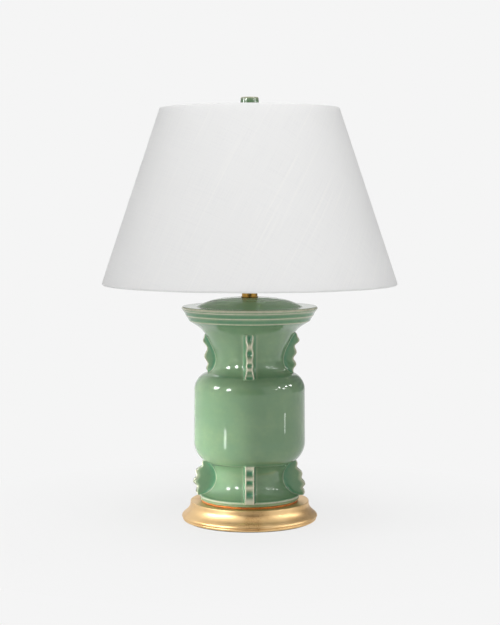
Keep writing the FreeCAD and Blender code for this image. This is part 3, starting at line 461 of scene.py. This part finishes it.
WAIST_FINS[BACK] = tuple((z + 0.5, r - 0.3, t, rung) for z, r, t, rung in WAIST_FINS[FRONT])
# Height between the waist's fins and the neck's
MIDDLE = 160
# Half the thickness used where no fin stands
NO_FIN_HALF = 5.7
# Half a fin from the middle of its crest outwards, one row for each column of the mesh.
# Hollow: share of the way to the rail, share of the dish's depth, pool
HOLLOW = ((0.0, 1.0, 1.0), (0.4, 0.92, 1.0), (0.75, 0.6, 0.9), (0.95, 0.2, 0.3))
# Rail: share of its width still outwards, drop below the crest in mm, thin
RAIL = ((0.7, 0.1, 0.9), (0.45, 0.0, 1.0), (0.0, 0.9, 0.55))
# Drop of the crest's edge, where the flank begins
EDGE_DROP = 0.9
# Flank and root: pool
FLANK = (0.15, 0.25, 0.35, 0.7)
ROOT = (0.75, 0.3, 0.0)
# Thin at the root's columns, on the fins at the sides and on those at front and back
SIDE_ROOT_THIN, FRONT_ROOT_THIN = (0.0, 0.1, 0.6), (0.0, 0.1, 0.15)
HALF = len(HOLLOW + RAIL + FLANK + ROOT) - 1
# Columns of wall between two fins
FREE = 24


def fin_section(side, r, z, fins):
    """Across one fin at one height: places (sideways, outwards) in mm with thin and pool, left to right."""
    size = bpy.context.scene.jar_lamp_sizes
    dish, rail = size.dish_depth / MM, size.rail_width / MM
    root, fillet = size.fin_root / MM, size.fin_fillet / MM
    crest, half, rung, high = 0.0, NO_FIN_HALF, 0.0, 0.0
    if fins:
        table = NECK_FINS[side] if z > MIDDLE else WAIST_FINS[side]
        if table[-1][0] < z < table[0][0]:
            crest, half, rung = eased(table, z)
            high = max(0.0, crest - r)
    # A fin has its full relief once it stands 4 mm proud; round a narrow wall its section shrinks
    full = min(1.0, high / 4)
    fillet_here = min(fillet, 0.6 * high)
    shrink = min(1.0, r / 45)
    foot = max(root, half + 0.3)
    shape = []
    for way, depth, pool in HOLLOW:
        out = crest - dish * full * (1 - rung) * depth
        shape.append(((half - rail) * way, out, rung ** 2 * full * 0.75, (1 - rung) * full * pool))
    for width, drop, thin in RAIL:
        shape.append((half - rail * width, crest - full * drop, full * thin, 0.0))
    for k, pool in enumerate(FLANK, 1):
        t = k / len(FLANK)
        out = crest - EDGE_DROP * full + (r + fillet_here - crest + EDGE_DROP * full) * t
        shape.append((half + (foot - half) * t, out, 0.0, full * pool))
    thins = SIDE_ROOT_THIN if side in (LEFT, RIGHT) else FRONT_ROOT_THIN
    for k, (pool, thin) in enumerate(zip(ROOT, thins), 1):
        t = k / len(ROOT)
        shape.append((foot + fillet * t, r + fillet_here * (1 - t) ** 2, full * thin, full * pool))
    across = []
    for k, (u, out, thin, pool) in enumerate(shape):
        u *= shrink
        wall = math.sqrt(max(0.0, r * r - u * u))
        if high <= 0:
            out = wall
        elif k > HALF - len(ROOT):
            out = wall + (out - r)
        else:
            out = max(wall, out)
        across.append((u, out, thin, pool))
    mirrored = [(-u, out, thin, pool) for u, out, thin, pool in reversed(across[1:])]
    return mirrored + across


def glazed_vase():
    """A grid of rows round the vase's outline and columns round its girth, shaped into wall and fins."""
    rows = vase_rows()
    sides = (RIGHT, BACK, LEFT, FRONT)
    quarter = 2 * HALF + 1 + FREE
    columns = 4 * quarter
    breaks = (
        (94.6, 313.8, 1.3, 0.8), (99.9, 322.3, 1.3, 0.8), (104.2, 330.4, 1.5, 1.0), (77.6, 39.4, 1.5, 0.75),
        (72.5, 95.3, 1.4, 0.25), (77.4, 35.2, 1.2, 0.3),
    )
    pools = (
        (96.7, 317.6, 3.4, 0.75), (101.4, 325.9, 3.2, 0.8), (75.2, 43.5, 4.0, 0.5), (73.6, 97.5, 4.0, 0.35),
        (90.0, 311.6, 4.5, 0.3), (76.8, 34.4, 2.5, 0.6), (69.5, 231.0, 6.0, 0.25),
    )
    places = []
    for r, z, fins in rows:
        ring = []
        line_thin, line_pool = nearness(r, z, breaks), nearness(r, z, pools)
        for side in sides:
            turn = math.radians(side)
            across = fin_section(side, r, z, fins)
            end = math.asin(min(1.0, across[-1][0] / r))
            for u, out, thin, pool in across:
                x = out * math.cos(turn) - u * math.sin(turn)
                y = out * math.sin(turn) + u * math.cos(turn)
                ring.append((x, y, z, max(thin, line_thin), max(pool, line_pool)))
            for k in range(1, FREE + 1):
                at = turn + end + (math.pi / 2 - 2 * end) * k / (FREE + 1)
                ring.append((r * math.cos(at), r * math.sin(at), z, line_thin, line_pool))
        places.append(ring)
    mesh = bmesh.new()
    thin = mesh.verts.layers.float.new("thin")
    pool = mesh.verts.layers.float.new("pool")
    bmesh.ops.create_grid(mesh, x_segments=columns, y_segments=len(rows) - 1, size=1)
    for v in mesh.verts:
        column = round((v.co.x + 1) / 2 * columns) % columns
        row = round((v.co.y + 1) / 2 * (len(rows) - 1))
        x, y, z, v[thin], v[pool] = places[row][column]
        v.co = Vector((x, y, z)) * MM
    tidy(mesh)
    return mesh


def lid_outline():
    """The lid's section: domed top, flat flange, rolled edge and the skirt inside the vase's mouth."""
    top = [(5.2, 349.7), (19.0, 349.7)]
    top += flowing([
        (19.0, 349.7), (27.0, 349.4), (29.5, 349.5), (31.5, 348.9), (42.0, 348.1), (44.5, 348.1),
        (46.5, 347.4), (57.5, 345.8), (71.6, 341.1), (83.2, 335.9),
    ], 60)
    edge = line((83.2, 335.9), (102.6, 336.2), 8) + arc((102.6, 336.2), (106.1, 333.4), (104.9, 331.1), 10)
    under = [
        (91.0, 331.1), (91.0, 324.6), (86.0, 324.6), (86.0, 331.1), (81.2, 331.1), (57.5, 340.1),
        (19.0, 344.7), (5.2, 344.7),
    ]
    return top + edge + under


def drum_outline():
    """The finial's ceramic drum."""
    side = [(0.0, 639.5), (9.4, 639.5)] + arc((9.4, 639.5), (13.6, 642.4), (14.7, 646.2), 8)
    side += line((14.7, 646.2), (13.9, 657.3), 3) + arc((13.9, 657.3), (13.3, 658.7), (11.9, 659.3), 6)
    return side + [(0.0, 659.3)]


# ---------------------------------------------------------------- base
def base_outline():
    """Turned ogee: lip, swelling edge, hollow neck and flat top, with a pocket for the nut underneath."""
    side = [(5.2, 16.0), (26.0, 16.0), (26.0, 1.5), (102.8, 1.5)]
    side += arc((102.8, 1.5), (104.8, 3.5), (103.9, 5.4), 6)
    side += flowing([
        (104.6, 5.4), (106.0, 6.6), (106.1, 7.7), (105.2, 9.6), (102.6, 12.1), (99.2, 15.0),
        (95.9, 18.9), (93.6, 23.2), (92.8, 27.5),
    ], 45)
    side += arc((92.8, 30.1), (92.5, 30.8), (91.8, 31.1), 5)
    return side + [(5.2, 31.1)]


def seat_outline():
    """The thin ring between base and vase, rounded at its edge."""
    side = [(60.0, 31.1), (75.0, 31.1)] + arc((75.0, 31.1), (75.6, 32.2), (75.0, 33.3), 6)
    return side + [(60.0, 33.3)]


# ---------------------------------------------------------------- shade
# Radius and height of the linen's face at both ends, radius of its roll over a ring and width of its hem
SHADE_TOP, SHADE_BOTTOM = (138.4, 643.3), (229.8, 370.6)
ROLL = 2.6
HEM = 12.0


def on_shade(along, depth):
    """Distance up the slant and inwards from the linen's face, as radius and height."""
    top, bottom = Vector(SHADE_TOP), Vector(SHADE_BOTTOM)
    up = (top - bottom).normalized()
    return tuple(bottom + up * along + Vector((-up.y, up.x)) * depth)


def linen_path():
    """The cloth's way round both rings: hem, roll, face, roll, hem, outside face of the cloth."""
    slant = (Vector(SHADE_TOP) - Vector(SHADE_BOTTOM)).length
    low = [on_shade(ROLL + HEM, 2 * ROLL), on_shade(ROLL, 2 * ROLL)]
    low += arc(low[-1], on_shade(0, ROLL), on_shade(ROLL, 0), 8)
    face = line(on_shade(ROLL, 0), on_shade(slant - ROLL, 0), 24)
    high = arc(face[-1], on_shade(slant, ROLL), on_shade(slant - ROLL, 2 * ROLL), 8)
    return low + face + high + [on_shade(slant - ROLL - HEM, 2 * ROLL)]


def linen_cone():
    """One cut piece of linen, spun round the shade, with its flat pattern in metres as its UV map."""
    path = linen_path()
    slope = (SHADE_BOTTOM[0] - SHADE_TOP[0]) / (Vector(SHADE_TOP) - Vector(SHADE_BOTTOM)).length
    run = [0.0]
    for a, b in zip(path, path[1:]):
        run.append(run[-1] + (Vector(b) - Vector(a)).length)
    start = SHADE_BOTTOM[0] / slope + HEM + math.pi * ROLL - ROLL
    mesh = bmesh.new()
    distance = mesh.verts.layers.float.new("distance")
    chain = [mesh.verts.new((0, r * MM, z * MM)) for r, z in path]
    edges = [mesh.edges.new(pair) for pair in zip(chain, chain[1:])]
    for v, gone in zip(chain, run):
        v[distance] = (start - gone) * MM
    bmesh.ops.spin(
        mesh, geom=chain + edges, cent=(0, 0, 0), axis=(0, 0, 1), angle=math.tau, steps=LARGE_TURN,
        use_merge=True,
    )
    bmesh.ops.remove_doubles(mesh, verts=mesh.verts, dist=TOUCHING)
    bmesh.ops.recalc_face_normals(mesh, faces=mesh.faces)
    flat = mesh.loops.layers.uv.new("cut_cloth")
    for face in mesh.faces:
        middle = face.calc_center_median()
        mid_turn = math.atan2(middle.x, -middle.y)
        for loop in face.loops:
            turn = math.atan2(loop.vert.co.x, -loop.vert.co.y)
            turn += round((mid_turn - turn) / math.tau) * math.tau
            reach = loop.vert[distance]
            loop[flat].uv = (reach * math.sin(turn * slope), -reach * math.cos(turn * slope))
    return mesh


# ---------------------------------------------------------------- operators
class JarLampOperator(bpy.types.Operator):
    """What the lamp's operators share"""
    bl_options = {"REGISTER", "UNDO"}


class JARLAMP_OT_vase(JarLampOperator):
    """Celadon vase, lid and finial drum with their glaze"""
    bl_idname = "jar_lamp.vase"
    bl_label = "Glazed vase, lid and finial"

    def execute(self, context):
        glaze = celadon_glaze()
        piece("glazed_vase", glazed_vase(), glaze, "lamp", ["vase_body"], sharp=60)
        lid = turned(
            lid_outline(), MIDDLE_TURN,
            breaks=((105.5, 334.3, 2.6, 1.0), (83.2, 335.9, 1.5, 0.25)),
            # The pool on the lid's flat top round the brass neck's foot is painted shade; the one at the
            # flange's step is pooled glaze
            pools=((82.0, 336.4, 4.0, 0.35), (14.0, 349.7, 9.0, 0.25)),
        )
        piece("glazed_lid", lid, glaze, "lamp", ["vase_lid"])
        drum = turned(
            drum_outline(), SMALL_TURN,
            breaks=((13.2, 659.0, 3.0, 0.85),), pools=((12.0, 641.0, 2.5, 0.6),),
        )
        piece("glazed_finial_drum", drum, glaze, "finial", ["finial_cap"])
        return {"FINISHED"}


class JARLAMP_OT_base(JarLampOperator):
    """Gilded turned base, its seat ring of red bole with painted gold reflection, the felt and the cord
    bushing
    """
    bl_idname = "jar_lamp.base_ring"
    bl_label = "Gilt base"

    def execute(self, context):
        look = context.scene.jar_lamp_colours
        base = turned(base_outline(), LARGE_TURN)
        piece("gilt_turned_base", base, gold_leaf(), "lamp", ["gilt_base"], sharp=50)
        # Painted reflection: the ring's saturated orange stands for gilt mirrored into the shaded gap under
        # the foot.
        # Also red clay under thin gold, rubbed: a satin orange with the gold left in specks
        bole = plain(
            "bole_with_painted_reflection", tuple(look.bole), srgb("#D58A3E"), rough=0.38, scale=130, metal=0.25,
        )
        seat = turned(seat_outline(), MIDDLE_TURN)
        piece("seat_ring_with_painted_reflection", seat, bole, "lamp", ["vase_seat_ring"])
        # Pressed wool felt: short matt fibres with a soft sheen
        felt = plain(
            "wool_felt", srgb("#22302A"), srgb("#34463D"), rough=0.95, scale=900, bump=0.5, sheen=0.4,
        )
        dress(felt, "felt_pad")
        # Moulded nylon: satin black with a faint skin
        nylon = plain("moulded_nylon", srgb("#1C1B1A"), srgb("#2A2826"), rough=0.45, scale=700)
        dress(nylon, "cord_bushing")
        return {"FINISHED"}


class JARLAMP_OT_shade(JarLampOperator):
    """Linen cone and the styrene liner under it"""
    bl_idname = "jar_lamp.shade"
    bl_label = "Linen shade"

    def execute(self, context):
        size = context.scene.jar_lamp_sizes
        linen = piece("linen_cone", linen_cone(), linen_weave(), "shade", ["shade_linen"], sharp=60)
        wall = linen.modifiers.new("cloth", "SOLIDIFY")
        wall.thickness = size.cloth
        wall.offset = -1
        # Styrene sheet: smooth, faintly glossy white
        styrene = plain(
            "styrene_sheet", srgb("#F0F0EE"), srgb("#EAEAE7"), rough=0.5, scale=300, bump=0.03,
        )
        dress(styrene, "shade_backing")
        return {"FINISHED"}


class JARLAMP_OT_metalwork(JarLampOperator):
    """Brass and steel fittings: neck, harp, rings, spider, finial foot, pipe and nut"""
    bl_idname = "jar_lamp.metalwork"
    bl_label = "Metalwork"

    def execute(self, context):
        look = context.scene.jar_lamp_colours
        # Drawn and spun brass, polished and lacquered: warm, mirror-like, with faint turning lines
        brass = plain(
            "lacquered_brass", tuple(look.brass), srgb("#A37D3B"), rough=0.17, scale=300, metal=1.0,
            bump=0.02, stretch=(0.1, 0.1, 1),
        )
        dress(
            brass, "neck_check_ring", "brass_neck", "harp_saddle", "harp_bow", "harp_stud",
            "harp_sleeve_left", "harp_sleeve_right", "shade_spider", "finial_base", "finial_ring",
            "base_lock_nut", "switch_shaft", "holder_cap", "holder_shell", "holder_screw_shell",
            "holder_terminal_screws",
        )
        # Zinc-plated steel: cool grey, fine drawing marks
        steel = plain(
            "zinc_plated_steel", srgb("#B9BABA"), srgb("#9FA1A2"), rough=0.32, scale=600, metal=1.0,
            bump=0.08, stretch=(1, 1, 0.1),
        )
        dress(steel, "base_washer", "centre_pipe", "holder_set_screw", "shade_top_ring", "shade_bottom_ring")
        # Copper strip, bright from stamping
        copper = plain(
            "stamped_copper", srgb("#C9825C"), srgb("#B26C49"), rough=0.3, scale=800, metal=1.0,
        )
        dress(copper, "holder_centre_contact")
        return {"FINISHED"}


class JARLAMP_OT_holder(JarLampOperator):
    """Insulating pieces of the lamp holder and the turn key"""
    bl_idname = "jar_lamp.holder"
    bl_label = "Lamp holder"

    def execute(self, context):
        # Vulcanised fibre paper: warm grey, matt, with pressed fibres
        fibre = plain(
            "vulcanised_fibre", srgb("#B8AB90"), srgb("#A89A7D"), rough=0.85, scale=500, bump=0.2,
        )
        dress(fibre, "holder_liner")
        # Phenolic moulding: near black, glossy from the die, faint flow marks
        phenolic = plain("phenolic_moulding", srgb("#1B1715"), srgb("#2A2320"), rough=0.25, scale=260)
        dress(phenolic, "holder_insulator", "switch_key")
        return {"FINISHED"}


class JARLAMP_OT_bulb(JarLampOperator):
    """Bulb with its diffusing globe, collar, cap and contact"""
    bl_idname = "jar_lamp.bulb"
    bl_label = "Bulb"

    def execute(self, context):
        # Opal polycarbonate: milky white with a soft gloss
        opal = plain(
            "opal_polycarbonate", srgb("#EFEFEC"), srgb("#E8E8E4"), rough=0.35, scale=200, bump=0.02,
        )
        dress(opal, "bulb_globe")
        # Moulded white shell between globe and cap: plain satin plastic
        white = plain("moulded_white_shell", srgb("#E6E6E3"), srgb("#DEDEDA"), rough=0.5, scale=700)
        dress(white, "bulb_collar")
        # Nickel-plated aluminium cap and solder contact
        nickel = plain(
            "nickelled_cap", srgb("#BEBCB6"), srgb("#A9A7A0"), rough=0.3, scale=700, metal=1.0,
        )
        dress(nickel, "bulb_cap", "bulb_contact")
        # Black glass insulator of the cap
        glass = plain("black_cap_glass", srgb("#101012"), srgb("#1A1A1E"), rough=0.15, scale=300)
        dress(glass, "bulb_insulator")
        # White solder mask over aluminium
        mask = plain("white_solder_mask", srgb("#E9EAE8"), srgb("#DDE0DC"), rough=0.4, scale=400)
        dress(mask, "bulb_light_board")
        return {"FINISHED"}


# Focal length and film width in mm, where the camera stands in m, and how far it looks down in degrees
LENS, FILM = 89.86, 36
CAMERA_AT = (0.0006, -2.425, 0.5047)
CAMERA_DOWN = 4.216
# Brightness of the room as matt surfaces receive it
ROOM_LIGHT = 0.15
FLOOR_RADIUS, FLOOR_CORNERS = 4.0, 96
# The floor keeps this share of the lamp's shadow out to the near radius, and none past the far one, in m
SHADOW_SHARE, SHADOW_NEAR, SHADOW_FAR = 0.15, 0.18, 0.55

# Flags, glowing sheets of painted reflection: name, place in m, turn in degrees, half the width and height in
# m, tone
# The dark one stands for the shaded room in front, the grey one dims the mirrored backdrop behind on the
# right
FLAGS = (
    ("flag_front", (0, -3.1, 1.0), (90, 0, 0), (1.7, 1.6), "#2A2A2C"),
    ("flag_right_back", (1.9, 1.6, 1.6), (90, 0, 130), (1.7, 2.6), "#9A9A9C"),
)

# Lights: name, azimuth left of the camera and elevation in degrees, distance and height of the aim,
# width and height in m, watts, spread in degrees. Soft panels light matt surfaces evenly.
SOFT = (
    ("panel_top", 0, 75, 2.2, 0.27, 2.0, 2.0, 38, 180),
    ("panel_left", 75, 0, 2.2, 0.27, 1.0, 0.8, 9, 180),
    ("panel_right", -68, 0, 2.2, 0.2, 1.0, 0.8, 10, 180),
    ("panel_front", 0, 15, 2.2, 0.27, 2.0, 1.2, 11.5, 180),
    ("panel_back", 180, 18, 2.2, 0.32, 2.0, 1.4, 16, 180),
    ("strip_left_low", 84, 0, 2.2, 0.10, 0.5, 0.06, 0.72, 14),
)
# These are only seen mirrored in glaze and metal: two windows, two glints near the floor, broken panes
MIRRORED = (
    ("softbox_far_left", 78, 24, 2.2, 0.27, 0.48, 0.42, 18, 180),
    ("softbox_near_left", 45, 23, 2.2, 0.27, 0.32, 0.44, 18, 180),
    ("streak_left", 47, 0, 0.53, 0.065, 0.045, 0.055, 0.08, 180),
    ("streak_right", -72, 0, 0.57, 0.095, 0.024, 0.035, 0.02, 180),
    ("pane_right_1", -60, 22, 2.2, 0.27, 0.12, 0.14, 2.0, 180),
    ("pane_right_2", -70, 28, 2.2, 0.27, 0.10, 0.16, 2.0, 180),
    ("pane_right_3", -79, 20, 2.2, 0.27, 0.14, 0.12, 2.1, 180),
    ("pane_right_4", -90, 26, 2.2, 0.27, 0.16, 0.12, 2.4, 180),
    ("pane_right_5", -104, 24, 2.2, 0.27, 0.16, 0.14, 2.5, 180),
)


class JARLAMP_OT_stage(JarLampOperator):
    """Camera, paper floor, world, lights and two glowing flags, painted reflections seen only in gold and
    glaze
    """
    bl_idname = "jar_lamp.stage"
    bl_label = "Stage"

    def execute(self, context):
        scene = context.scene
        backdrop = tuple(scene.jar_lamp_colours.backdrop)
        scene.view_settings.view_transform = "Standard"
        lens = bpy.data.cameras.new("camera")
        lens.lens, lens.sensor_width = LENS, FILM
        camera = bpy.data.objects.new("camera", lens)
        camera.location = CAMERA_AT
        camera.rotation_euler = (math.radians(90 - CAMERA_DOWN), 0, 0)
        scene.collection.objects.link(camera)
        scene.camera = camera

        world = bpy.data.worlds.new("studio")
        scene.world = world
        world.use_nodes = True
        tree = world.node_tree
        tree.nodes.clear()
        path, seen = seen_rays(tree)
        seen = sums(tree, "ADD", seen, path.outputs["Is Transmission Ray"])
        room = add(tree, "ShaderNodeBackground", {"Color": (1, 1, 1, 1), "Strength": ROOM_LIGHT})
        paper = add(tree, "ShaderNodeBackground", {"Color": backdrop, "Strength": 1.0})
        both = blend_shaders(tree, seen, room, paper)
        add(tree, "ShaderNodeOutputWorld", {"Surface": both.outputs[0]})

        ground = bmesh.new()
        bmesh.ops.create_circle(
            ground, cap_ends=True, cap_tris=False, segments=FLOOR_CORNERS, radius=FLOOR_RADIUS,
        )
        floor = placed("paper_floor", ground)
        # Matt paper: it shows as bright as the backdrop and keeps a little of the lamp's shadow nearby
        material, tree = blank("matt_paper")
        place = add(tree, "ShaderNodeTexCoord").outputs["Object"]
        reach = add(tree, "ShaderNodeVectorMath", {0: place}, operation="LENGTH").outputs["Value"]
        share = spread(tree, reach, SHADOW_NEAR, SHADOW_FAR, SHADOW_SHARE, 0.0)
        seen = seen_rays(tree)[1]
        matt = add(tree, "ShaderNodeBsdfDiffuse", {"Color": srgb("#EDEDED")})
        glow = add(tree, "ShaderNodeEmission", {"Color": backdrop, "Strength": 1.0})
        shown = blend_shaders(tree, share, glow, matt)
        finish_surface(tree, blend_shaders(tree, seen, matt, shown))
        floor.data.materials.append(material)

        for name, at, turn, half, tone in FLAGS:
            # Painted reflection: a sheet glowing at an even tone that only mirroring surfaces see
            felt, tree = blank(name + "_felt")
            finish_surface(tree, add(tree, "ShaderNodeEmission", {"Color": srgb(tone), "Strength": 1.0}))
            sheet = bmesh.new()
            bmesh.ops.create_grid(sheet, x_segments=1, y_segments=1, size=1)
            bmesh.ops.scale(sheet, vec=(half[0], half[1], 1), verts=sheet.verts)
            flag = placed(name, sheet)
            flag.location = at
            flag.rotation_euler = [math.radians(a) for a in turn]
            flag.visible_camera = False
            flag.visible_shadow = False
            flag.visible_diffuse = False
            flag.data.materials.append(felt)

        for matt, group in ((True, SOFT), (False, MIRRORED)):
            for name, azimuth, elevation, away, aim, width, height, watts, spread_angle in group:
                light = bpy.data.lights.new(name, "AREA")
                light.shape = "RECTANGLE"
                light.size, light.size_y, light.energy = width, height, watts
                light.spread = math.radians(spread_angle)
                left, up = math.radians(azimuth), math.radians(elevation)
                towards = Vector((
                    -math.sin(left) * math.cos(up), -math.cos(left) * math.cos(up), math.sin(up),
                ))
                lamp = bpy.data.objects.new(name, light)
                lamp.location = towards * away + Vector((0, 0, aim))
                lamp.rotation_euler = (-towards).to_track_quat("-Z", "Y").to_euler()
                lamp.visible_camera = False
                lamp.visible_glossy = not matt
                lamp.visible_diffuse = matt
                scene.collection.objects.link(lamp)
        return {"FINISHED"}


STEPS = (
    JARLAMP_OT_stage, JARLAMP_OT_vase, JARLAMP_OT_base, JARLAMP_OT_shade, JARLAMP_OT_metalwork,
    JARLAMP_OT_holder, JARLAMP_OT_bulb,
)


class JARLAMP_PT_panel(bpy.types.Panel):
    """Lists the lamp's colours, sizes and pieces"""
    bl_label = "Jar Lamp"
    bl_idname = "JARLAMP_PT_panel"
    bl_space_type = "VIEW_3D"
    bl_region_type = "UI"
    bl_category = "Jar Lamp"

    def draw(self, context):
        for group in (context.scene.jar_lamp_colours, context.scene.jar_lamp_sizes):
            for name in group.bl_rna.properties.keys():
                if name not in ("rna_type", "name"):
                    self.layout.prop(group, name)
        for step in STEPS:
            self.layout.operator(step.bl_idname)


CLASSES = (JarLampColours, JarLampSizes) + STEPS + (JARLAMP_PT_panel,)


def register():
    for made in CLASSES:
        bpy.utils.register_class(made)
    bpy.types.Scene.jar_lamp_colours = bpy.props.PointerProperty(type=JarLampColours)
    bpy.types.Scene.jar_lamp_sizes = bpy.props.PointerProperty(type=JarLampSizes)


def unregister():
    del bpy.types.Scene.jar_lamp_sizes
    del bpy.types.Scene.jar_lamp_colours
    for made in reversed(CLASSES):
        bpy.utils.unregister_class(made)


def main():
    register()
    for step in STEPS:
        group, name = step.bl_idname.split(".")
        getattr(getattr(bpy.ops, group), name)()


if __name__ == "__main__":
    main()
